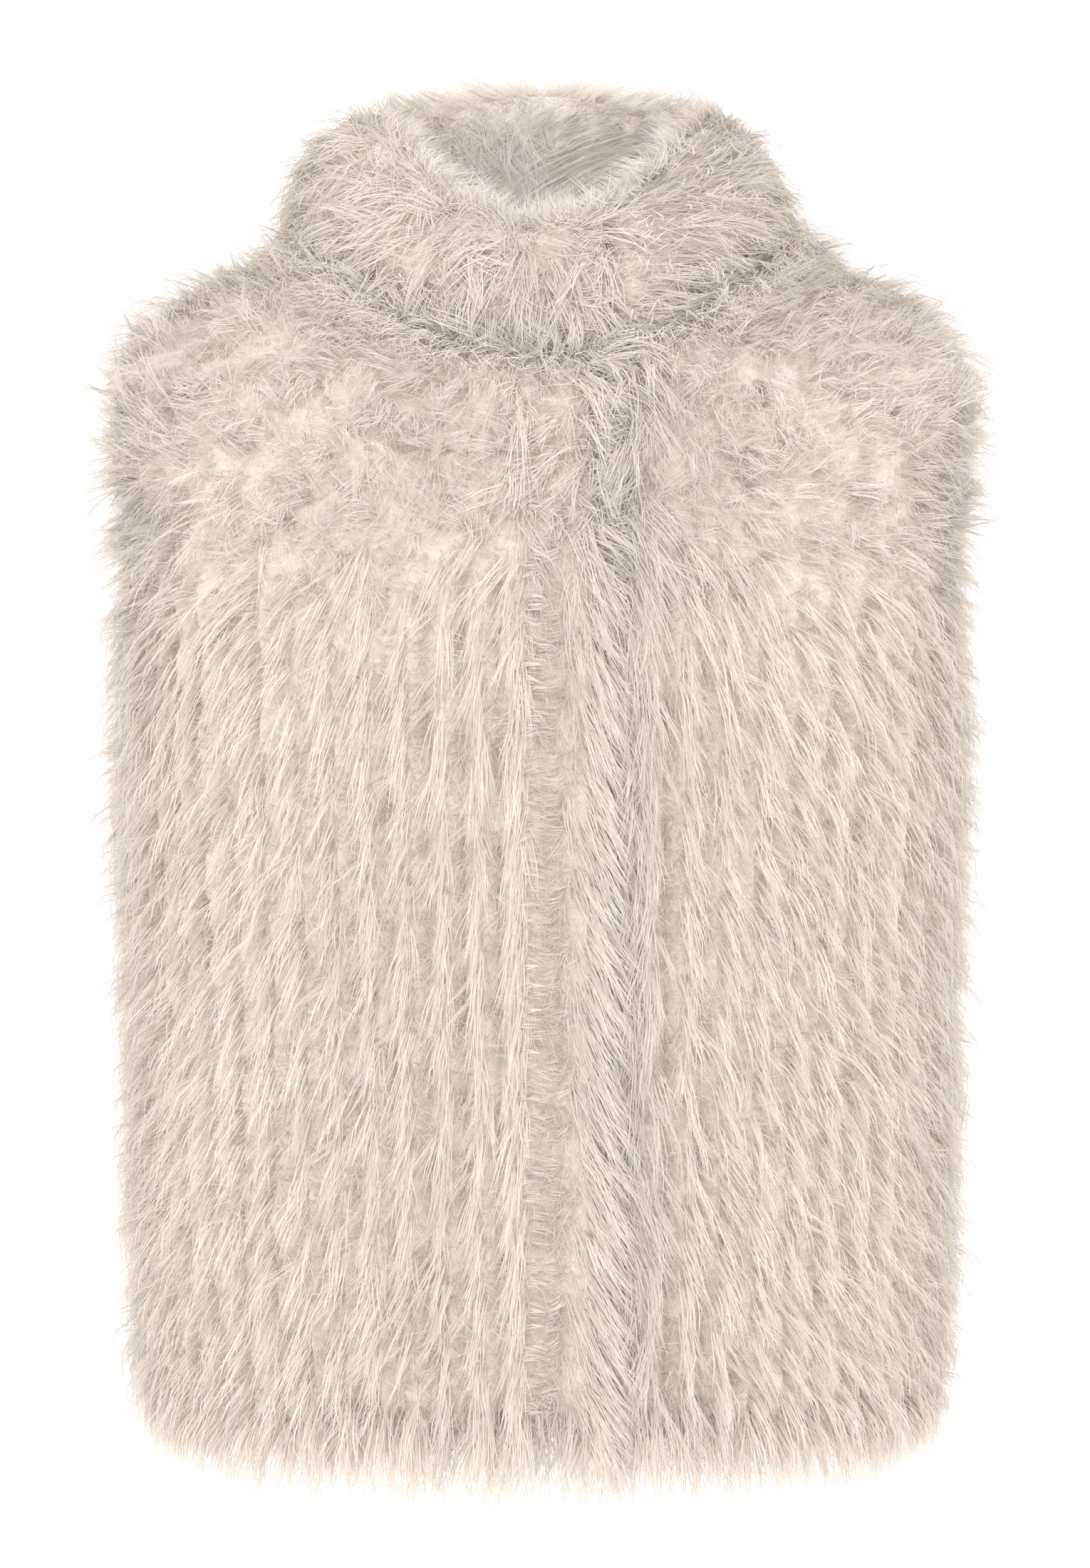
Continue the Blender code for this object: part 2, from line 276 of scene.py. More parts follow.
# Panels. `q` is the place across a panel: on a front the distance from the centre front at the
# chest, and on the back a share from -1 at one side seam to 1 at the other
def frontPanel(name, side, start, last, seed):
    count = round((chestWidth - last) / vest["waleWidth"])
    pitch = (chestWidth - last) / count
    startPlaces, startRises = zip(*start)
    edgeX = -vest["rightEdgeX"] if side < 0 else vest["leftFurX"]

    def place(q, up):
        widest = sidePlace(up, 0)
        yielding = sidePlace(up, -1) - widest
        share = np.clip((q - last) / (chestWidth - last), 0, 1.02)
        spread = last + (widest - last) * share + yielding * share ** vest["crowding"]
        return side * np.where(q <= last, q, spread)

    def rise(q):
        wales = 0.5 * np.cos(2 * math.pi * (q - last) / pitch)
        return np.where(q <= last, np.interp(q, startPlaces, startRises), wales)

    def depth(q, up, along, y):
        fromFront = side * along - edgeX
        return edgedDepth(
            vest["pile"], hemEdge=up, frontEdge=fromFront, armholeEdge=fromArmhole(up, y)
        )

    def lift(along):
        return vest["liftOverUnderlap"] * (
            1 - eased((side * along - vest["liftFrom"]) / vest["liftFade"])
        )

    return plainPanel | {
        "name": name,
        "side": side,
        "towards": -1,
        "first": edgeX,
        "clothFirst": edgeX if side < 0 else vest["underlapX"],
        "last": chestWidth,
        "wales": [last + pitch * k for k in range(1, count)],
        "place": place,
        "rise": rise,
        "depth": depth,
        "lift": lift if side < 0 else noLift,
        "seed": seed,
    }


def backPanel(seed):
    chestLength = float(np.interp(vest["armpitUp"], body["ups"], body["length"]))
    reachAtChest = chestLength - chestWidth
    pairs = round(2 * reachAtChest / vest["waleWidth"])

    def place(q, up):
        length = np.interp(up, body["ups"], body["length"])
        reach = length - sidePlace(up, 0)
        yielding = sidePlace(up, 1) - sidePlace(up, 0)
        return length + q * reach - np.sign(q) * np.abs(q) ** vest["crowding"] * yielding

    def rise(q):
        return -0.5 * np.cos(math.pi * (q + 1) * pairs)

    def depth(q, up, along, y):
        return edgedDepth(vest["pile"], hemEdge=up, armholeEdge=fromArmhole(up, y))

    return plainPanel | {
        "name": "back",
        "towards": 1,
        "first": -1.0,
        "clothFirst": -1.0,
        "last": 1.0,
        "wales": [-1 + (2 * k + 1) / pairs for k in range(pairs)],
        "place": place,
        "rise": rise,
        "depth": depth,
        "qScale": 1 / reachAtChest,
        "seed": seed,
    }


# Places across beside the front opening, and how high the pile stands there: 0.5 is the top of
# a wale and -0.5 a dip
rightStart = [
    (-0.0320, -0.2),
    (-0.0270, 0.3),
    (-0.0215, 0.7),
    (-0.0160, 0.2),
    (-0.0105, -0.5),
    (-0.0055, -0.4),
    (-0.0005, -0.5),
    (0.0055, 0.1),
    (0.0115, 0.7),
]
leftStart = [(0.0345, -0.2), (0.0493, 0.5)]


# Form of the pile's top over a place: wales low down, soft puffs above
def pileForm(panel, q, points):
    wales = 1 - eased((points[:, 2] - vest["walesEndZ"]) / vest["walesFade"])
    ropes = vest["waleRise"] * panel["rise"](q) * vest["waleGain"]
    ripple = vest["rippleRise"] * softNoise(points, vest["rippleSize"], 5)
    puffs = vest["swellRise"] * softNoise(points, vest["swellSize"], 9)
    tall = points * np.array([1, 1, 0.8])
    puffs = puffs + vest["puffRise"] * softNoise(tall, vest["puffSize"], 10)
    return wales * (ropes + ripple) + (1 - 0.7 * wales) * puffs, wales


# How the hair goes on past its own panel. A pair is where a change starts and over how far
wrap = {
    "leastStretch": 0.35,
    "pastArmhole": 0.06,
    "armholeFade": (0.012, 0.03),
    "stiffness": 0.4,
    "stiffFromX": 0.13,
    "collarStiffFromX": 0.05,
    "stiffFade": 0.04,
    "farthestX": (-0.2365, 0.2375),
    "lowestShoulder": 0.4,
    "overShoulder": (0.012, 0.026),
    "sunkHeight": 0.95,
    "sunkLoss": 0.6,
    "sunkOver": 0.024,
}


# Moves flat offsets from each root on to the worn form. Past the ends of the surface and past
# the armhole's edge the pile goes straight on, and the collar's runs on over the shoulders
def wrapOn(panel, root, across, rise, height):
    surface, facing = panel["surface"], panel["facing"]
    start = onSurface(surface, root["up"], root["along"])
    stretch = np.maximum(start["stretch"], wrap["leastStretch"])
    up = root["up"] + rise / stretch
    along = root["along"] + across * facing - rise / stretch * start["skew"]
    heldUp = np.clip(up, 0, surface["top"])
    past = (up - heldUp) * stretch
    held, beyond = along, along * 0
    if panel["towards"] != 0:
        sign = np.sign(root["along"]) * -panel["towards"]
        edge = sidePlace(heldUp, panel["towards"])
        excess = np.clip(-panel["towards"] * (np.abs(along) - edge), 0, wrap["pastArmhole"])
        fadeStart, fade = wrap["armholeFade"]
        beyond = sign * excess * eased((armholeWidth(heldUp) - fadeStart) / fade)
        held = along - beyond
    place = onSurface(surface, heldUp, held)
    points = place["point"] + place["upward"] * past[:, None] + place["across"] * beyond[:, None]
    points = points + facing * place["normal"] * height[:, None]
    straight = start["point"] + start["across"] * (facing * across)[:, None]
    straight = straight + start["upward"] * rise[:, None]
    straight = straight + facing * start["normal"] * height[:, None]
    reach = wrap["stiffFromX" if surface is body else "collarStiffFromX"]
    outwards = eased((np.abs(start["point"][:, 0]) - reach) / wrap["stiffFade"])
    stiff = wrap["stiffness"] * outwards[:, None]
    points = points * (1 - stiff) + straight * stiff
    points[:, 0] = np.clip(points[:, 0], *wrap["farthestX"])
    if surface is collar and facing > 0:
        points = layOverShoulders(points, place, up, along, heldUp, height)
    return points, place


# Below the collar's seam its hair follows the body, and sinks a little into the body's own
def layOverShoulders(points, place, up, along, heldUp, height):
    share = along / np.interp(heldUp, collar["ups"], collar["length"])
    bodyUp = np.clip(body["top"] + up, wrap["lowestShoulder"], body["top"])
    below = onSurface(body, bodyUp, share * np.interp(bodyUp, body["ups"], body["length"]))
    overStart, overFade = wrap["overShoulder"]
    over = eased((overStart - up) / overFade)[:, None]
    sunk = height * (wrap["sunkHeight"] - wrap["sunkLoss"] * eased(-up / wrap["sunkOver"]))
    lower = below["point"] + below["normal"] * sunk[:, None]
    for key in ("normal", "across", "upward"):
        place[key] = unit(place[key] * (1 - over) + below[key] * over)
    return points * (1 - over) + lower * over


# Tufts. Each is a lock of tapered ribbons that leaves the backing, bends over and runs down
# (-Y in its own frame, +Z away from the backing) to a shared tip
tuftForms = {
    "lock": {"strands": 8, "length": 0.038, "height": 0.012, "spread": 0.0032, "clump": 0.68,
             "width": 0.00062, "steps": 4, "curl": 0.0013, "fan": 0.07, "variants": 8},
    "fluff": {"strands": 8, "length": 0.016, "height": 0.009, "spread": 0.0042, "clump": 0.1,
              "width": 0.00056, "steps": 3, "curl": 0.0030, "fan": 0.60, "variants": 8},
    "wisp": {"strands": 5, "length": 0.034, "height": 0.014, "spread": 0.0030, "clump": 0.5,
             "width": 0.00036, "steps": 3, "curl": 0.0022, "fan": 0.16, "variants": 7},
    "loop": {"strands": 8, "length": 0.018, "height": 0.007, "spread": 0.0020, "clump": 0.5,
             "width": 0.00060, "steps": 4, "curl": 0.0010, "fan": 0.06, "variants": 6},
}


def toMesh(name, work):
    mesh = bpy.data.meshes.new(name)
    work.to_mesh(mesh)
    work.free()
    return mesh


def addObject(name, data):
    added = bpy.data.objects.new(name, data)
    bpy.context.scene.collection.objects.link(added)
    return added


def makeTuft(name, form, seed):
    pick = np.random.default_rng(seed)
    work = bmesh.new()
    layers = {key: work.verts.layers.float.new(key) for key in ("along", "strand", "lean")}
    tip = pick.normal(0, 0.0012)
    for strand in range(form["strands"]):
        startX = form["spread"] * (2 * (strand + pick.uniform(0.1, 0.9)) / form["strands"] - 1)
        startY = pick.uniform(-1, 1) * form["spread"]
        length = form["length"] * pick.uniform(0.70, 1.10)
        height = form["height"] * pick.uniform(0.75, 1.15)
        width = form["width"] * pick.uniform(0.7, 1.3)
        heading = pick.normal(0, form["fan"])
        roll = pick.normal(0, 0.35)
        curl = form["curl"] * pick.normal()
        phase = pick.uniform(0, 2 * math.pi)
        shade = pick.uniform(0, 1)
        rows = []
        for step in range(form["steps"]):
            t = step / (form["steps"] - 1)
            gather = form["clump"] * t**1.3
            run = length * (0.25 * t + 0.75 * t**1.5)
            bend = curl * math.sin(phase + 3.5 * t) * t
            x = startX * (1 - gather) + tip * t + bend + run * math.sin(heading)
            y = startY - run * math.cos(heading)
            z = height * (1 - (1 - t) ** 2.4) - 0.14 * height * t**4
            if name.endswith("loop"):
                x = startX + bend + 0.16 * length * math.sin(math.pi * t)
                z = height * math.sin(math.pi * (0.1 + 0.9 * t))
            half = width / 2 * (1 - t) ** 0.5
            side = np.array([math.cos(roll), 0.0, math.sin(roll)]) * half
            middle = np.array([x, y, z])
            if step == form["steps"] - 1:
                row = [work.verts.new(middle)]
            else:
                row = [work.verts.new(middle - side), work.verts.new(middle + side)]
            for number, vert in enumerate(row):
                vert[layers["along"]] = t
                vert[layers["strand"]] = shade
                turn = 0.0 if len(row) == 1 else (0.16 if number else -0.16)
                vert[layers["lean"]] = turn + roll * 0.12
            rows.append(row)
        for low, high in zip(rows, rows[1:]):
            if len(high) == 2:
                work.faces.new((low[0], high[0], high[1], low[1]))
            else:
                work.faces.new((low[0], high[0], low[1]))
    return bpy.data.objects.new(name, toMesh(name, work))


def makeTufts():
    tufts = bpy.data.collections.new("tufts")
    numbers = {}
    count = 0
    for kind, form in tuftForms.items():
        numbers[kind] = (count, form["variants"])
        for variant in range(form["variants"]):
            tufts.objects.link(makeTuft(f"{count:02d}_{kind}", form, 100 + count))
            count += 1
    return tufts, numbers


tufts, tuftNumbers = makeTufts()


# One node with its settings and links
def addNode(tree, kind, inputs=None, **settings):
    node = tree.nodes.new(kind)
    for name, value in settings.items():
        setattr(node, name, value)
    for socket, value in (inputs or {}).items():
        if isinstance(value, bpy.types.NodeSocket):
            tree.links.new(value, node.inputs[socket])
        else:
            node.inputs[socket].default_value = value
    return node


def addMath(tree, operation, *values):
    return addNode(tree, "ShaderNodeMath", dict(enumerate(values)), operation=operation).outputs[0]


def addVectorMath(tree, operation, inputs):
    return addNode(tree, "ShaderNodeVectorMath", inputs, operation=operation).outputs["Vector"]


# Grows a tuft on each root, flat, and sways the hair more towards its tips
def makePileTree():
    tree = bpy.data.node_groups.new("grow pile", "GeometryNodeTree")
    tree.interface.new_socket("Geometry", in_out="OUTPUT", socket_type="NodeSocketGeometry")
    for name, kind in [
        ("Roots", "NodeSocketGeometry"),
        ("Tufts", "NodeSocketCollection"),
        ("Sway", "NodeSocketFloat"),
        ("Sway Size", "NodeSocketFloat"),
        ("Fur", "NodeSocketMaterial"),
    ]:
        tree.interface.new_socket(name, in_out="INPUT", socket_type=kind)
    start = addNode(tree, "NodeGroupInput").outputs

    def named(name, kind):
        node = addNode(tree, "GeometryNodeInputNamedAttribute", {"Name": name}, data_type=kind)
        return node.outputs["Attribute"]

    source = addNode(tree, "GeometryNodeCollectionInfo", {
        "Collection": start["Tufts"], "Separate Children": True, "Reset Children": True,
    })
    turned = addNode(tree, "FunctionNodeEulerToRotation", {"Euler": named("turn", "FLOAT_VECTOR")})
    placed = addNode(tree, "GeometryNodeInstanceOnPoints", {
        "Points": start["Roots"],
        "Instance": source.outputs["Instances"],
        "Pick Instance": True,
        "Instance Index": named("variant", "INT"),
        "Rotation": turned.outputs["Rotation"],
        "Scale": named("size", "FLOAT_VECTOR"),
    })
    real = addNode(tree, "GeometryNodeRealizeInstances", {"Geometry": placed.outputs["Instances"]})
    scale = addMath(tree, "DIVIDE", 1.0, start["Sway Size"])
    noise = addNode(tree, "ShaderNodeTexNoise", {"Scale": scale, "Detail": 1.0, "Roughness": 0.5})
    centred = addVectorMath(tree, "SUBTRACT", {0: noise.outputs["Color"], 1: (0.5, 0.5, 0.5)})
    strength = addMath(tree, "MULTIPLY", start["Sway"], named("along", "FLOAT"))
    swayed = addNode(tree, "GeometryNodeSetPosition", {
        "Geometry": real.outputs["Geometry"],
        "Offset": addVectorMath(tree, "SCALE", {0: centred, "Scale": strength}),
    })
    dressed = addNode(tree, "GeometryNodeSetMaterial", {
        "Geometry": swayed.outputs["Geometry"], "Material": start["Fur"],
    })
    addNode(tree, "NodeGroupOutput", {"Geometry": dressed.outputs["Geometry"]})
    return tree


pileTree = makePileTree()
hairSway = {"Sway": 0.006, "Sway Size": 0.014}


def setAttribute(mesh, name, values):
    kind = "INT" if values.dtype.kind == "i" else "FLOAT"
    kind = "FLOAT_VECTOR" if values.ndim == 2 else kind
    attribute = mesh.attributes.new(name, kind, "POINT")
    field = "vector" if kind == "FLOAT_VECTOR" else "value"
    attribute.data.foreach_set(field, np.ascontiguousarray(values).ravel())


def getAttribute(mesh, name, size=1):
    data = mesh.attributes[name].data
    values = np.empty(len(data) * size, dtype=np.float32)
    data.foreach_get("vector" if size == 3 else "value", values)
    return values.reshape(-1, size) if size == 3 else values


# roots holds, for each tuft: along, up, height (all flat places), q, angle, tilt, size (3), the tone,
# which holds painted light and shade as well as a random part, and variant
def growPile(panel, name, roots, material):
    flat = bpy.data.meshes.new(name + "_roots")
    places = np.stack([roots["along"], roots["up"], roots["height"]], axis=1)
    flat.from_pydata(places, [], [])
    turn = np.stack([roots["tilt"], roots["tilt"] * 0, roots["angle"]], axis=1)
    variant = roots["variant"].astype(np.int32)
    named = roots | {"turn": turn, "root": places, "variant": variant}
    for key in ("turn", "size", "variant", "tone", "root", "angle"):
        setAttribute(flat, key, named[key])
    grower = addObject(name + "_roots", flat)
    modifier = grower.modifiers.new("grow", "NODES")
    modifier.node_group = pileTree
    values = hairSway | {"Tufts": tufts, "Fur": material}
    for item in pileTree.interface.items_tree:
        if item.in_out == "INPUT" and item.name in values:
            modifier[item.identifier] = values[item.name]
    depsgraph = bpy.context.evaluated_depsgraph_get()
    grown = grower.evaluated_get(depsgraph)
    mesh = bpy.data.meshes.new_from_object(grown, preserve_all_data_layers=True, depsgraph=depsgraph)
    grower.modifiers.remove(modifier)
    bpy.data.objects.remove(grower)
    mesh.name = name
    wrapMesh(panel, mesh)
    return finishPiece(name, mesh)


def wrapMesh(panel, mesh):
    places = np.empty(len(mesh.vertices) * 3, dtype=np.float32)
    mesh.vertices.foreach_get("co", places)
    places = places.reshape(-1, 3).astype(float)
    root = getAttribute(mesh, "root", 3).astype(float)
    angle = getAttribute(mesh, "angle")
    lean = getAttribute(mesh, "lean")
    offset = places - root
    start = {"along": root[:, 0], "up": root[:, 1]}
    points, place = wrapOn(panel, start, offset[:, 0], offset[:, 1], places[:, 2])
    mesh.vertices.foreach_set("co", points.astype(np.float32).ravel())
    facing = panel["facing"]
    sideways = np.cos(angle)[:, None] * place["across"] * facing
    sideways = sideways + np.sin(angle)[:, None] * place["upward"]
    normals = unit(facing * place["normal"] + sideways * np.sin(lean)[:, None])
    for name in ("turn", "size", "variant", "root", "angle", "lean"):
        if name in mesh.attributes:
            mesh.attributes.remove(mesh.attributes[name])
    mesh.polygons.foreach_set("use_smooth", np.ones(len(mesh.polygons), dtype=bool))
    mesh.normals_split_custom_set_from_vertices(normals.astype(np.float32))


def finishPiece(name, mesh):
    mesh.update()
    piece = addObject(name, mesh)
    triangles = sum(len(p.vertices) - 2 for p in mesh.polygons)
    print(name, "triangles:", triangles)
    return piece


# How near a place is to the top of the shoulder
def ridge(points):
    return eased(1 - np.abs(points[:, 1]) / 0.06) * eased((points[:, 2] + 0.12) / 0.05)


# Angles in degrees. A swirl is size, strength and seed
comb = {
    "halfWidth": 0.19,
    "lowTurn": 3,
    "lowSpread": 27,
    "shoulderTurn": 10,
    "shoulderSpread": 60,
    "ridgeCalm": 0.7,
    "highFromZ": -0.20,
    "highFade": 0.14,
    "swirls": [(0.075, 0.6, 21), (0.024, 0.65, 22)],
    "ripple": (0.12, 0.10, 23),
    "innerSwirl": 0.35,
    "backLow": 0.7,
    "backShoulder": -0.2,
    "backCalm": 0.7,
}


# Where the long pile lies to: 0 is straight down, positive towards the wearer's left
def combAngle(panel, points, wales):
    x, z = points[:, 0], points[:, 2]
    back = panel["name"] == "back"
    share = np.clip(np.abs(x) / comb["halfWidth"], 0, 1.1)
    low = np.radians(comb["lowTurn"] + comb["lowSpread"] * share**1.5)
    low = low * (1 - 0.3 * eased((share - 0.86) / 0.2))
    shoulder = np.radians(comb["shoulderTurn"] + comb["shoulderSpread"] * share**1.3)
    shoulder = shoulder * (1 - comb["ridgeCalm"] * ridge(points))
    if back:
        low = low * comb["backLow"] * eased((share - 0.4) / 0.4)
        shoulder = shoulder * comb["backShoulder"]
    high = eased((z - comb["highFromZ"]) / comb["highFade"])
    angle = np.sign(x) * (low * (1 - high) + shoulder * high)
    swirl = sum(softNoise(points, size, seed) * much for size, much, seed in comb["swirls"])
    if panel["facing"] < 0:
        return swirl * comb["innerSwirl"]
    if back:
        swirl = swirl * (1 - comb["backCalm"] * high)
    size, much, seed = comb["ripple"]
    return angle + swirl * (1 - wales) + softNoise(points, size, seed) * much * wales


bodyPile = {
    "lockSpacing": 0.0076,
    "flareSpacing": 0.0128,
    "fluffSpacing": 0.0082,
    "wispSpacing": 0.0150,
    "sideSpacing": 0.0105,
    "clumpSpacing": 0.0105,
    "fringeSpacing": 0.0050,
    "hemSpacing": 0.0050,
    "hemReach": 0.043,
    "hemReachLoss": 0.36,  # at the sides
    "backShare": 0.82,
    "lowest": 0.002,
    "neckMargin": 0.004,
    # painted light on the tops of the wales and painted shade in their dips
    "paintedLightByForm": 0.058,
}


def pickVariants(pick, kind, count):
    first, number = tuftNumbers[kind]
    return first + pick.integers(0, number, count)


# One layer of tufts at the given places of a panel
def layTufts(panel, pick, q, up, kind, length, top, turn=0.0, turnNoise=0.1, tone=1.0,
             rootShare=0.46, wide=1.0, keep=1.0, raised=0.0):
    along = panel["place"](q, up)
    place = onSurface(panel["surface"], up, along)
    points = place["point"]
    form, wales = pileForm(panel, q, points)
    chance = keep(points, wales) if callable(keep) else keep * np.ones(len(q))
    chance = chance * np.clip(place["stretch"], 0.3, 1) * vest["density"]
    chosen = pick.uniform(size=len(q)) < chance
    q, up, along, points = q[chosen], up[chosen], along[chosen], points[chosen]
    form, wales = form[chosen], wales[chosen]
    full = panel["depth"](q, up, along, points[:, 1])
    depth = (full + form * full / vest["pile"]) * top
    rootHeight = full * rootShare
    shape = tuftForms[kind]
    angle = combAngle(panel, points, wales)
    angle = angle + turn * np.sign(points[:, 0]) + pick.normal(0, turnNoise, len(q))
    count = len(q)
    reach = length * pick.uniform(0.85, 1.2, count)
    if panel["surface"] is body:
        atSide = eased((np.abs(points[:, 0]) - 0.13) / 0.05)
        drop = bodyPile["hemReach"] * (1 - bodyPile["hemReachLoss"] * atSide)
        limit = (up + drop * pick.uniform(0.85, 1.08, count)) / shape["length"]
        reach = np.minimum(reach, limit)
    across = wide * pick.uniform(0.85, 1.2, count)
    high = np.clip((depth - rootHeight) / shape["height"], 0.25, 2.2)
    tilt = pick.normal(0, 0.06, count) - raised * pick.uniform(0.4, 1.3, count)
    # Painted light and shade: hair over the tops of the wales is painted lighter, hair over the dips
    # darker
    shade = bodyPile["paintedLightByForm"] * np.clip(form / 0.0035, -1, 1)
    return {
        "along": along,
        "up": up,
        "height": rootHeight + panel["lift"](along),
        "angle": angle,
        "q": q,
        "tilt": tilt,
        "size": np.stack([across, reach, high], axis=1),
        "tone": tone + shade + pick.normal(0, 0.02, count),
        "variant": pickVariants(pick, kind, count),
    }


def joinLayers(layers):
    return {key: np.concatenate([layer[key] for layer in layers]) for key in layers[0]}


def latticeOf(pick, columns, low, high, spacing, sway):
    rows = np.arange(low, high, spacing)
    q, up = np.meshgrid(np.array(columns), rows)
    q = q + pick.normal(0, sway, q.shape)
    up = up + pick.uniform(-0.5, 0.5, up.shape) * spacing
    return q.ravel(), up.ravel()


def growBodyPile(panel, material):
    pick = np.random.default_rng(panel["seed"])
    scale = panel["qScale"]
    first, last, wales = panel["first"], panel["last"], panel["wales"]
    share = 1.0 if panel["side"] else bodyPile["backShare"]
    lowest = bodyPile["lowest"]
    top = body["top"] - bodyPile["neckMargin"]
    layers = []

    def rows(columns, spacing, sway, low=lowest, high=top):
        return latticeOf(pick, columns, low, high, spacing, sway * scale)

    def even(spacing, low=lowest):
        columns = np.arange(first + 0.002 * scale, last, spacing * scale)
        return rows(columns, spacing, spacing * 0.35, low)

    def lay(places, kind, length, height, **how):
        layers.append(layTufts(panel, pick, *places, kind, length, height, **how))

    def onWales(points, wales):
        return wales * share

    def onPuffs(points, wales):
        return 0.6 * (1 - wales) * share

    def everywhere(points, wales):
        return (1 - 0.35 * wales) * share

    def atSides(points, wales):
        return eased((np.abs(points[:, 0]) - 0.15) / 0.03)

    def onOutline(points, wales):
        return np.maximum(eased((np.abs(points[:, 0]) - 0.158) / 0.02), ridge(points))

    # Locks on the wales are painted lighter by their tone and the fluff that fills the dips darker:
    # painted light and shade
    lay(rows(wales, bodyPile["lockSpacing"], 0.0010), "lock", 1.0, 1.10, keep=onWales, tone=1.04)
    lay(rows(wales, bodyPile["flareSpacing"], 0.002), "lock", 0.75, 1.06, keep=onWales,
        turn=0.30, turnNoise=0.22, wide=0.7, tone=1.02)
    lay(even(bodyPile["fluffSpacing"]), "fluff", 1.0, 0.96, keep=everywhere,
        turnNoise=0.8, tone=0.97, rootShare=0.6)
    lay(even(bodyPile["fluffSpacing"], 0.28), "lock", 0.45, 1.05, keep=onPuffs, turnNoise=0.5)
    lay(even(bodyPile["wispSpacing"]), "wisp", 0.8, 1.1, keep=share, turnNoise=0.35, raised=0.12)
    lay(even(bodyPile["sideSpacing"]), "wisp", 0.8, 1.1, keep=atSides,
        turn=0.25, turnNoise=0.35, raised=0.40)
    seams = [last - 0.002 * scale]
    if panel["side"] == 0:
        seams.append(first + 0.002 * scale)
    lay(rows(seams, 0.0048, 0.001, high=0.34), "lock", 0.9, 1.02, turnNoise=0.45)
    lay(rows(seams, 0.0030, 0.001), "fluff", 1.2, 1.05, turnNoise=1.2, rootShare=0.5)
    # Standing rows under the neck, painted lighter by their tone against the shade under the collar
    lay(even(0.0056, top - 0.016), "fluff", 1.5, 1.1, turnNoise=1.0, rootShare=0.25, tone=1.1)
    lay(even(bodyPile["clumpSpacing"]), "lock", 0.88, 1.0, keep=onOutline,
        turn=0.3, turnNoise=0.3, raised=0.52, wide=0.6)
    columns = np.arange(first, last, bodyPile["hemSpacing"] * scale)
    lay(rows(columns, 0.006, 0.002, 0.001, 0.014), "fluff", 2.4, 1.0, turnNoise=0.3)
    columns = np.arange(first, last, 0.0054 * scale)
    lay(rows(columns, 0.006, 0.002, 0.003, 0.025), "lock", 1.1, 0.95, turnNoise=0.2)
    layers.append(growFringe(panel, pick, *even(bodyPile["fringeSpacing"], 0.30)))
    if panel["side"]:
        layers.extend(growEdge(panel, pick))
        return [growPile(panel, panel["name"] + "_pile", joinLayers(layers), material)]
    roots = joinLayers(layers)
    halves = {"left": roots["q"] < 0, "right": roots["q"] >= 0}
    return [
        growPile(panel, f"back_pile_{half}", {k: v[chosen] for k, v in roots.items()}, material)
        for half, chosen in halves.items()
    ]


fringeDepth = 0.010


# Short hair that points into the armhole from its edge
def growFringe(panel, pick, q, up):
    spots = onSurface(body, up, panel["place"](q, up))["point"]
    near = fromArmhole(up, spots[:, 1]) < fringeDepth
    layer = layTufts(panel, pick, q[near], up[near], "fluff", 1.3, 1.0, rootShare=0.1)
    spots = onSurface(body, layer["up"], layer["along"])["point"]
    inward = vest["armholeY"] - spots[:, 1]
    upward = armholeUp - layer["up"]
    heading = np.arctan2(inward * np.sign(spots[:, 0]), -upward)
    layer["angle"] = heading + pick.normal(0, 0.5, len(heading))
    return layer


# Place across, sweep and spacing of the locks at the right front's edge
edgeLocks = [
    (-0.0300, 0.50, 0.0044),
    (-0.0255, 0.48, 0.0048),
    (-0.0210, 0.42, 0.0052),
    (-0.0165, 0.36, 0.0062),
    (-0.0125, 0.26, 0.0080),
    (0.0115, -0.12, 0.0066),
    (0.0085, -0.08, 0.0080),
]

# By side: place across, heading and lowest place of the short hair that points across the gap
# between the fronts
edgeFill = {
    1: [(0.0350, -0.7, 0.0), (0.0375, -0.7, 0.0), (0.0405, -0.7, 0.0), (0.0440, -0.7, 0.35)],
    -1: [(-0.0312, 0.9, 0.0), (-0.0280, 0.9, 0.35), (-0.0240, 0.9, 0.35), (-0.0200, 0.9, 0.35)],
}

# Place across, heading and start of the loops on the band
edgeLoops = [(0.0085, 1.45, 0.0), (-0.0095, -1.45, 0.0034)]


def addFill(panel, pick, layers):
    top = body["top"] - bodyPile["neckMargin"]
    for column, heading, low in edgeFill[panel["side"]]:
        q, up = latticeOf(pick, [column], low + bodyPile["lowest"], top, 0.0036, 0.0005)
        layer = layTufts(panel, pick, q, up, "fluff", 1.1, 1.35, rootShare=0.2, tone=1.04)
        layer["angle"] = heading + pick.normal(0, 0.5, len(layer["angle"]))
        layers.append(layer)


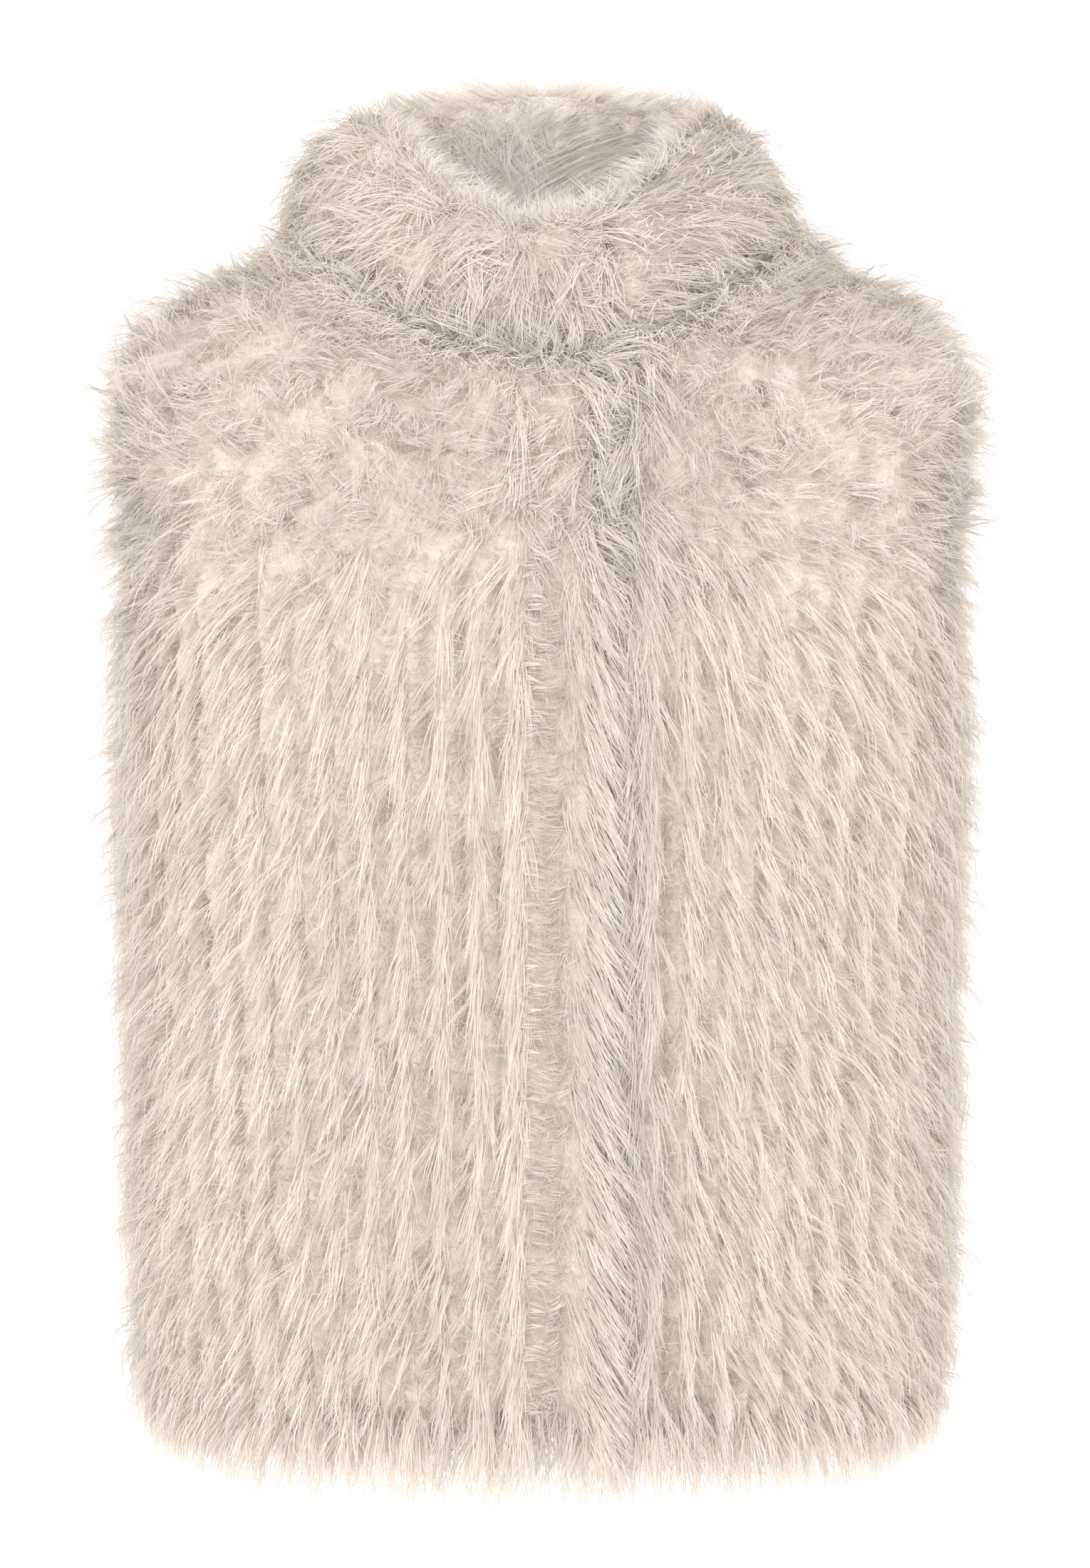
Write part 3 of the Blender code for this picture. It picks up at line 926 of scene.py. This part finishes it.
# The free front edge. The right one has locks that sweep over it and the band of loops
def growEdge(panel, pick):
    layers = []
    low, top = bodyPile["lowest"], body["top"] - bodyPile["neckMargin"]
    if panel["side"] > 0:
        q, up = latticeOf(pick, [0.0352, 0.0385, 0.0430, 0.0493], low, top, 0.0060, 0.001)
        layers.append(layTufts(panel, pick, q, up, "lock", 0.9, 1.25, turnNoise=0.15))
        addFill(panel, pick, layers)
        return layers
    addFill(panel, pick, layers)
    # The edge locks are painted lighter by their tone, painted light against the shade in the gap
    # between the fronts
    for column, sweep, spacing in edgeLocks:
        q, up = latticeOf(pick, [column], low, top, spacing, 0.0012)
        edge = eased((-column - 0.012) / 0.018)
        layer = layTufts(
            panel, pick, q, up, "lock", 0.95 - 0.2 * edge, 1.0 + 0.3 * edge, turnNoise=0.28,
            tone=1.05, keep=lambda points, wales: 0.4 + 0.6 * wales,
        )
        upper = eased((layer["up"] - 0.37) / 0.08)
        layer["angle"] = layer["angle"] * (0.3 + 0.7 * upper) + sweep * (1 - 0.6 * upper)
        layers.append(layer)
    for column, heading, start in edgeLoops:
        up = np.arange(0.006, 0.48, 0.0068) + start
        up = up + pick.normal(0, 0.0009, len(up))
        q = np.full(len(up), column) + pick.normal(0, 0.0012, len(up))
        layer = layTufts(panel, pick, q, up, "loop", 0.75, 0.97, rootShare=0.62)
        layer["angle"] = heading + pick.normal(0, 0.2, len(layer["angle"]))
        layers.append(layer)
    return layers


# The collar's two layers share the ring; `q` runs from 0 at the opening once round to 1
def collarPanel(name, facing, full, seed):
    def place(q, up):
        whole = 2 * np.interp(up, collar["ups"], collar["length"])
        first = vest["rightEdgeX"]
        return first + q * (vest["leftFurX"] - 0.001 - whole - first)

    def depth(q, up, along, y):
        whole = 2 * np.interp(up, collar["ups"], collar["length"])
        fromEnd = np.minimum(q, 1 - q) * whole
        return edgedDepth(full, collarEdge=collar["top"] - up, frontEdge=fromEnd)

    return plainPanel | {
        "name": name,
        "surface": collar,
        "facing": facing,
        "first": 0.0,
        "clothFirst": 0.0,
        "last": 1.0,
        "place": place,
        "rise": lambda q: q * 0,
        "depth": depth,
        "qScale": 1 / (2 * collar["length"][0]),
        "seed": seed,
    }


collarPile = {"spacing": 0.0066, "innerSpacing": 0.0068, "rimSpacing": 0.0050, "endTufts": 60}

# Kind, how far below the edge, length, height, lift and the share that hangs down, for the
# hair along the collar's edge
collarRim = [
    ("fluff", 0.000, 1.0, 0.3, 0.0, 0.0),
    ("fluff", 0.001, 1.0, 1.0, 0.2, 0.2),
    ("wisp", 0.001, 0.7, 0.4, 0.1, 0.0),
    ("lock", 0.003, 0.55, 0.9, 0.0, 0.4),
    ("fluff", 0.002, 1.4, 1.0, 0.0, 1.0),
]


def growCollar(panel, material):
    pick = np.random.default_rng(panel["seed"])
    sway = 0.002 * panel["qScale"]
    inner = panel["facing"] < 0
    spacing = collarPile["innerSpacing" if inner else "spacing"]
    columns = np.arange(0.0, 1.0, spacing * panel["qScale"])
    low, long = (0.006, 0.9) if inner else (0.0, 0.8)
    layers = []

    def lay(places, kind, length, height, **how):
        layers.append(layTufts(panel, pick, *places, kind, length, height, **how))

    places = latticeOf(pick, columns, low, collar["top"], spacing, sway)
    lay(places, "lock", long, 1.05, turnNoise=0.3, rootShare=0.3)
    lay(places, "fluff", 1.2, 0.97, turnNoise=0.8, rootShare=0.55)
    count = collarPile["endTufts"]
    ends = np.where(np.arange(count) % 2, 0.006, 0.994)
    up = np.linspace(0.002, collar["top"] - 0.004, count)
    lay((ends, up), "fluff", 1.3, 1.4, rootShare=0.2)
    turned = np.where(layers[-1]["q"] < 0.5, -1.3, 1.3) * panel["facing"]
    layers[-1]["angle"] = turned + pick.normal(0, 0.5, len(turned))
    if not inner:
        # The rows at the collar's foot are painted lighter by their tone, against the shade where the
        # collar meets the body
        places = latticeOf(pick, columns, 0.0, 0.010, 0.005, sway)
        lay(places, "fluff", 1.8, 1.0, turnNoise=0.6, rootShare=0.3, tone=1.1)
        places = latticeOf(pick, columns, low, collar["top"], spacing, sway)
        lay(places, "lock", 0.72, 1.0, turnNoise=0.4, raised=0.46, wide=0.6,
            keep=lambda points, wales: 0.6 * eased(1 - np.abs(points[:, 1]) / 0.05))
    columns = np.arange(0.0, 1.0, collarPile["rimSpacing"] * panel["qScale"])
    for kind, below, length, height, raised, hanging in collarRim:
        high = collar["top"] - below
        places = latticeOf(pick, columns, high - 0.003, high, 0.003, sway)
        lay(places, kind, length, height, turnNoise=0.4, rootShare=0.1, raised=raised)
        layers[-1]["angle"] = rimAngle(panel, layers[-1], pick, hanging)
    return [growPile(panel, panel["name"] + "_pile", joinLayers(layers), material)]


# At the collar's edge the hair stands up, and the outer layer's leans outwards at the front
# and sides
def rimAngle(panel, layer, pick, hanging):
    length = np.interp(layer["up"], collar["ups"], collar["length"])
    ring = (layer["along"] + length) % (2 * length) - length
    back = eased((np.abs(ring) / length - 0.45) / 0.3)
    comb = layer["angle"]
    standing = math.pi - np.sign(ring) * 0.15 + comb * 0.5
    if panel["facing"] > 0:
        leaning = np.sign(ring) * 2.1 + comb * 0.8
        standing = leaning * (1 - back) + standing * back
    return np.where(pick.uniform(size=len(comb)) < hanging, comb, standing)


# A closed wall between two grids of points, with faces outwards and a square UV in metres
def closedWall(name, outer, inner, material):
    rows, columns = outer.shape[:2]
    work = bmesh.new()
    uv = work.loops.layers.uv.new("cut")
    grids = [[[work.verts.new(p) for p in row] for row in grid] for grid in (outer, inner)]
    places = {}
    widths = np.linalg.norm(np.diff(outer, axis=1), axis=2).mean(axis=0)
    heights = np.linalg.norm(np.diff(outer, axis=0), axis=2).mean(axis=1)
    across, rise = np.append(0, np.cumsum(widths)), np.append(0, np.cumsum(heights))
    for grid in grids:
        for r in range(rows):
            for c in range(columns):
                places[grid[r][c]] = (across[c], rise[r])
        for r in range(rows - 1):
            for c in range(columns - 1):
                work.faces.new((grid[r][c], grid[r][c + 1], grid[r + 1][c + 1], grid[r + 1][c]))
    top, bottom = grids
    for c in (0, columns - 1):
        for r in range(rows - 1):
            work.faces.new((top[r][c], top[r + 1][c], bottom[r + 1][c], bottom[r][c]))
    for r in (0, rows - 1):
        for c in range(columns - 1):
            work.faces.new((top[r][c], top[r][c + 1], bottom[r][c + 1], bottom[r][c]))
    bmesh.ops.recalc_face_normals(work, faces=work.faces)
    for face in work.faces:
        face.smooth = True
        for loop in face.loops:
            loop[uv].uv = places[loop.vert]
    mesh = toMesh(name, work)
    mesh.materials.append(material)
    mesh.set_sharp_from_angle(angle=math.radians(55))
    return mesh


# Rows of `up` for a panel, closer together round the armhole
def panelRows(panel, spacing):
    top = panel["surface"]["top"]
    if panel["towards"] == 0:
        return np.linspace(0, top, max(3, round(top / spacing)))
    low = np.linspace(0, vest["armpitUp"], round(vest["armpitUp"] / spacing))
    turn = np.linspace(0, math.pi, round(0.5 * (vest["tipUp"] - vest["armpitUp"]) * 3 / spacing))
    arm = vest["armpitUp"] + (vest["tipUp"] - vest["armpitUp"]) * (1 - np.cos(turn)) / 2
    high = np.linspace(vest["tipUp"], top, max(3, round((top - vest["tipUp"]) / spacing)))
    return np.concatenate([low, arm[1:], high[1:]])


def panelGrid(panel, first, spacing):
    width = (panel["last"] - first) / panel["qScale"]
    columns = np.linspace(first, panel["last"], max(4, round(width / spacing)))
    rows = panelRows(panel, spacing)
    q, up = np.meshgrid(columns, rows)
    shape = q.shape
    q, up = q.ravel(), up.ravel()
    along = panel["place"](q, up)
    return q, up, along, onSurface(panel["surface"], up, along), shape


def gridPoints(panel, place, height, shape):
    points = place["point"] + panel["facing"] * place["normal"] * height[:, None]
    return points.reshape(*shape, 3)


underfur = {
    "spacing": 0.0056,
    "backSpacing": 0.0066,
    "backingStep": 0.011,
    "share": 0.62,
    "puffShareLoss": 0.16,
    "fuzz": 0.0016,
    "fuzzSize": 0.012,
    "least": 0.0035,
    "gap": 0.0002,
    "neckShare": 0.45,
    "neckFade": 0.03,
}


# The knitted backing is the sheet of cloth that everything else is fixed to
def makeBacking(panel, material):
    q, up, along, place, shape = panelGrid(panel, panel["clothFirst"], underfur["backingStep"])
    base = panel["lift"](along) + underfur["gap"]
    outer = gridPoints(panel, place, base + vest["clothThickness"], shape)
    inner = gridPoints(panel, place, base, shape)
    name = panel["name"] + "_backing"
    return finishPiece(name, closedWall(name, outer, inner, material))


# Matted short hair between the long locks
def makeUnderfur(panel, material):
    spacing = underfur["spacing" if panel["side"] else "backSpacing"]
    q, up, along, place, shape = panelGrid(panel, panel["first"], spacing)
    form, wales = pileForm(panel, q, place["point"])
    full = panel["depth"](q, up, along, place["point"][:, 1])
    lift = panel["lift"](along)
    fuzz = underfur["fuzz"] * softNoise(place["point"], underfur["fuzzSize"], 31)
    share = underfur["share"] - underfur["puffShareLoss"] * (1 - wales)
    height = full * share + form * (0.5 + 0.3 * wales) * full / vest["pile"] + fuzz
    height = np.maximum(height, underfur["least"])
    neck = panel["surface"]["top"] - up if panel["surface"] is body else up
    low = underfur["neckShare"]
    height = height * (low + (1 - low) * eased(neck / underfur["neckFade"]))
    base = lift + underfur["gap"] + vest["clothThickness"] + underfur["gap"]
    outer = gridPoints(panel, place, base + height, shape)
    inner = gridPoints(panel, place, base, shape)
    name = panel["name"] + "_underfur"
    mesh = closedWall(name, outer, inner, material)
    # Where the underfur's material paints shade down the dips of the wales, and where its puffs are
    dips = wales * np.clip(0.5 - panel["rise"](q), 0, 1)
    setAttribute(mesh, "dip", np.tile(dips, 2))
    setAttribute(mesh, "puffed", np.tile(1 - wales, 2))
    return finishPiece(name, mesh)


def linearColour(hexText):
    values = [int(hexText[i : i + 2], 16) / 255 for i in (1, 3, 5)]
    linear = [v / 12.92 if v <= 0.04045 else ((v + 0.055) / 1.055) ** 2.4 for v in values]
    return (*linear, 1.0)


# A matt material, with its node tree and its shader
def newMaterial(name, roughness, sheen=0.0):
    material = bpy.data.materials.new(name)
    material.use_nodes = True
    shader = material.node_tree.nodes["Principled BSDF"]
    shader.inputs["Roughness"].default_value = roughness
    shader.inputs["Specular IOR Level"].default_value = 0.0
    shader.inputs["Sheen Weight"].default_value = sheen
    shader.inputs["Sheen Roughness"].default_value = 0.5
    return material, material.node_tree, shader


def readAttribute(tree, name):
    return addNode(tree, "ShaderNodeAttribute", attribute_name=name).outputs["Fac"]


def mapRange(tree, value, start, end, low=0.0, high=1.0):
    inputs = {0: value, 1: start, 2: end, 3: low, 4: high}
    return addNode(tree, "ShaderNodeMapRange", inputs).outputs[0]


def mixColours(tree, share, lowHex, highHex):
    inputs = {0: share, 6: linearColour(lowHex), 7: linearColour(highHex)}
    return addNode(tree, "ShaderNodeMix", inputs, data_type="RGBA").outputs[2]


def addBump(tree, height, distance, strength, **inputs):
    inputs = {"Height": height, "Distance": distance, "Strength": strength} | inputs
    return addNode(tree, "ShaderNodeBump", inputs).outputs["Normal"]


# Part of the light that goes through a hair
throughHair = 0.47


# Modacrylic hair, crimped and combed: matt, pale at the tip and a little darker at the root, which
# is painted shade of the deep pile; the tone read here carries painted light and shade too
def modacrylicHair(name, rootHex, tipHex):
    material, tree, shader = newMaterial(name, 0.75)
    along, tone, strand = [readAttribute(tree, key) for key in ("along", "tone", "strand")]
    mixed = mixColours(tree, mapRange(tree, along, 0.0, 0.75), rootHex, tipHex)
    value = addMath(tree, "MULTIPLY", tone, mapRange(tree, strand, 0.0, 1.0, 0.975, 1.02))
    varied = addVectorMath(tree, "SCALE", {0: mixed, "Scale": value})
    tree.links.new(varied, shader.inputs["Base Color"])
    through = addNode(tree, "ShaderNodeBsdfTranslucent", {"Color": varied}).outputs[0]
    both = addNode(tree, "ShaderNodeMixShader", {0: throughHair, 1: shader.outputs[0], 2: through})
    tree.links.new(both.outputs[0], tree.nodes["Material Output"].inputs["Surface"])
    return material


matting = {
    "swayScale": 130.0,
    "sway": 0.012,
    "puffSize": 0.0105,
    "courseHeight": 0.0056,
    "fibreScale": 1300.0,
    "fibreMark": 0.9,
    "paintedDipShade": -0.28,
}


# Matted short fibres under the long hair, a darker cream that is partly painted shade of the deep
# pile: puffs of about 10.5 mm with painted shade in the creases between them, and down the dips of
# the wales painted shade and a faint mark for each course of the knit
def mattedUnderfur(name, lowHex, highHex):
    material, tree, shader = newMaterial(name, 0.85)
    place = addNode(tree, "ShaderNodeTexCoord").outputs["Object"]
    puffed, dip = readAttribute(tree, "puffed"), readAttribute(tree, "dip")

    def noise(vector, scale, detail):
        inputs = {"Vector": vector, "Scale": scale, "Detail": detail}
        return addNode(tree, "ShaderNodeTexNoise", inputs).outputs

    def voronoi(feature):
        inputs = {"Vector": swayed, "Scale": 1 / matting["puffSize"]}
        node = addNode(tree, "ShaderNodeTexVoronoi", inputs, feature=feature)
        return node.outputs["Distance"]

    sway = noise(place, matting["swayScale"], 2.0)["Color"]
    swayed = addVectorMath(tree, "MULTIPLY_ADD", {0: sway, 1: [matting["sway"]] * 3, 2: place})
    puffs, creases = voronoi("F1"), voronoi("DISTANCE_TO_EDGE")
    # Painted shade: darker in the creases between the puffs
    paintedCreaseShade = mapRange(tree, creases, 0.0, 0.30, 0.45, 0.85)
    height = addNode(tree, "ShaderNodeSeparateXYZ", {0: swayed}).outputs[2]
    course = addMath(tree, "MULTIPLY", height, 2 * math.pi / matting["courseHeight"])
    marked = mapRange(tree, addMath(tree, "SINE", course), -1.0, 1.0, 0.40, 0.85)
    form = addNode(tree, "ShaderNodeMix", {0: puffed, 2: marked, 3: paintedCreaseShade}, data_type="FLOAT")
    form = form.outputs[0]
    fibres = noise(swayed, matting["fibreScale"], 1.0)[0]
    # Painted shade down the dips of the wales
    shaded = addMath(tree, "MULTIPLY_ADD", dip, matting["paintedDipShade"], form)
    fibred = addMath(tree, "MULTIPLY_ADD", fibres, matting["fibreMark"], shaded)
    mixed = mixColours(tree, mapRange(tree, fibred, 0.1, 1.5), lowHex, highHex)
    domed = addMath(tree, "MULTIPLY_ADD", puffs, -0.8, form)
    soft = addBump(tree, domed, 0.0020, 0.6)
    tree.links.new(mixed, shader.inputs["Base Color"])
    tree.links.new(addBump(tree, fibres, 0.0009, 0.8, Normal=soft), shader.inputs["Normal"])
    return material


knit = {"waleWidth": 0.0016, "courseHeight": 0.0012, "slant": 1.6}


# Warp-knitted polyester backing, matt: wales 1.6 mm apart with a course every 1.2 mm, its colour
# darker in the knit's grooves as painted shade
def knittedBacking(name, lowHex, highHex):
    material, tree, shader = newMaterial(name, 0.8, 0.1)
    cut = addNode(tree, "ShaderNodeUVMap", uv_map="cut").outputs[0]
    x, y = addNode(tree, "ShaderNodeSeparateXYZ", {0: cut}).outputs[:2]
    zigzag = addMath(tree, "SINE", addMath(tree, "MULTIPLY", x, 2 * math.pi / knit["waleWidth"]))
    slant = addMath(tree, "MULTIPLY", zigzag, knit["slant"])
    course = addMath(tree, "MULTIPLY_ADD", y, 2 * math.pi / knit["courseHeight"], slant)
    height = mapRange(tree, addMath(tree, "SINE", course), -1.0, 1.0)
    # Painted shade: the colour follows the knit's height, darker in its grooves
    tree.links.new(mixColours(tree, height, lowHex, highHex), shader.inputs["Base Color"])
    tree.links.new(addBump(tree, height, 0.0004, 0.8), shader.inputs["Normal"])
    return material


creamHair = modacrylicHair("modacrylic_hair_cream", "#E9DFD5", "#ECE5DE")
# Painted light: the inside of the collar gets lighter copies of the hair and the underfur, against
# the shade in the collar's hollow
innerHairPaintedLight = modacrylicHair("modacrylic_hair_inside_collar_painted_light", "#F3EAE1", "#FCF8F3")
creamUnderfur = mattedUnderfur("matted_underfur_cream", "#CEC2B5", "#DFD6CC")
innerUnderfurPaintedLight = mattedUnderfur("matted_underfur_inside_collar_painted_light", "#D6CBBE", "#EBE3DA")
creamBacking = knittedBacking("warp_knit_backing_cream", "#D5C8B6", "#E8DECF")

panels = [
    (frontPanel("front_right", -1, rightStart, 0.0115, 11), creamHair, creamUnderfur),
    (frontPanel("front_left", 1, leftStart, 0.0493, 12), creamHair, creamUnderfur),
    (backPanel(13), creamHair, creamUnderfur),
    (collarPanel("collar_outer", 1, vest["collarPile"], 14), creamHair, creamUnderfur),
    (collarPanel("collar_inner", -1, vest["innerPile"], 15), innerHairPaintedLight, innerUnderfurPaintedLight),
]


def sewPanel(panel, hair, matted):
    name = panel["name"]
    backing = makeBacking(panel, creamBacking)
    under = makeUnderfur(panel, matted)
    piles = (growCollar if panel["surface"] is collar else growBodyPile)(panel, hair)
    for piece in (backing, under, *piles):
        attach(piece, "root")
    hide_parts(name)


for panel, hair, matted in panels:
    sewPanel(panel, hair, matted)
print("panels sewn:", len(panels))
for tuft in list(tufts.objects):
    bpy.data.objects.remove(tuft)
bpy.data.collections.remove(tufts)

studio = {
    "floorZ": -1.45,
    "floorRadius": 3.6,
    "floorHex": "#F2F1EE",
    "cameraDistance": 2.6,
    "cameraX": 0.0018,
    "cameraZ": -0.2658,
    "middleY": 0.010,
    "viewHeight": 0.792,  # what the picture spans at the vest's middle
    "worldLight": 1.2,
}

# Place, target, size and power
softLights = {
    "key": ((-0.25, -3.1, 0.55), (0, 0, -0.25), 1.8, 26),
    "top": ((-0.1, -2.1, 1.6), (0, 0.05, 0.0), 1.2, 13),
    "back_fill": ((0.3, 3.1, 0.55), (0, 0, -0.25), 1.8, 26),
    "left_fill": ((3.0, -0.9, 0.2), (0, 0, -0.25), 1.6, 23),
    "right_fill": ((-3.0, -0.9, 0.2), (0, 0, -0.25), 1.6, 23),
}


def makeFloor():
    work = bmesh.new()
    bmesh.ops.create_circle(work, cap_ends=True, segments=96, radius=studio["floorRadius"])
    bmesh.ops.translate(work, verts=work.verts, vec=(0, 0, studio["floorZ"]))
    mesh = toMesh("studio_floor", work)
    material, _, shader = newMaterial("matt_white_floor", 0.9)
    shader.inputs["Base Color"].default_value = linearColour(studio["floorHex"])
    mesh.materials.append(material)
    floor = addObject("studio_floor", mesh)


def addSoftLight(name, place, target, size, power):
    light = bpy.data.lights.new(name, "AREA")
    light.shape = "DISK"
    light.size = size
    light.energy = power
    lamp = addObject(name, light)
    lamp.location = place
    direction = np.array(target) - np.array(place)
    lamp.rotation_euler = (
        math.acos(-direction[2] / np.linalg.norm(direction)),
        0.0,
        math.atan2(direction[1], direction[0]) - math.pi / 2,
    )


def makeStudio():
    makeFloor()
    for name, (place, target, size, power) in softLights.items():
        addSoftLight(name, place, target, size, power)
    world = bpy.data.worlds.new("white_studio")
    world.use_nodes = True
    ground = world.node_tree.nodes["Background"]
    ground.inputs["Color"].default_value = (1.0, 1.0, 1.0, 1.0)
    ground.inputs["Strength"].default_value = studio["worldLight"]
    bpy.context.scene.world = world
    bpy.context.scene.view_settings.view_transform = "Standard"


def makeCamera():
    data = bpy.data.cameras.new("camera")
    data.sensor_fit = "AUTO"
    data.sensor_width = 36.0
    data.lens = data.sensor_width * studio["cameraDistance"] / studio["viewHeight"]
    camera = addObject("camera", data)
    y = studio["middleY"] - studio["cameraDistance"]
    camera.location = (studio["cameraX"], y, studio["cameraZ"])
    camera.rotation_euler = (math.pi / 2, 0.0, 0.0)
    bpy.context.scene.camera = camera


makeStudio()
makeCamera()
print("studio ready")
